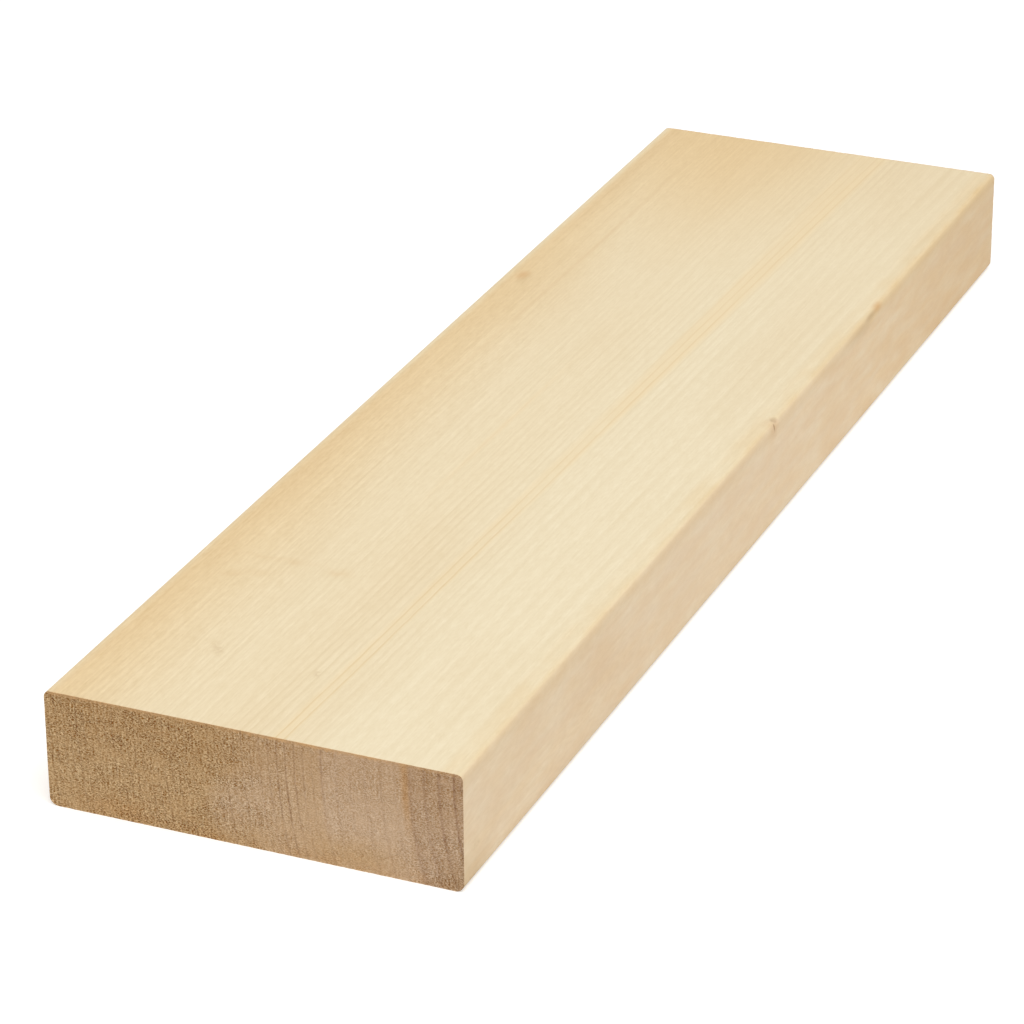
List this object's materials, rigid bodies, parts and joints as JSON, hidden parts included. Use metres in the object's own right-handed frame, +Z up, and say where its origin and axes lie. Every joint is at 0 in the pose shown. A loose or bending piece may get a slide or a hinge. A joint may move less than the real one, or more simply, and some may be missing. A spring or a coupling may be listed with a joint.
{
  "type": "timber plank",
  "caption": "Short length of planed softwood board with a rectangular section, eased long edges and square sawn ends.",
  "frame": {"origin": "middle of the underside, the broad face that the plank rests on", "axes": "+X along the length and the grain, +Y across the width, +Z up through the thickness"},
  "size_m": [0.525, 0.14, 0.04],
  "materials": {
    "planed_softwood": "planed, unfinished"
  },
  "bodies": {
    "root": {"plank": "planed_softwood"}
  },
  "joints": []
}
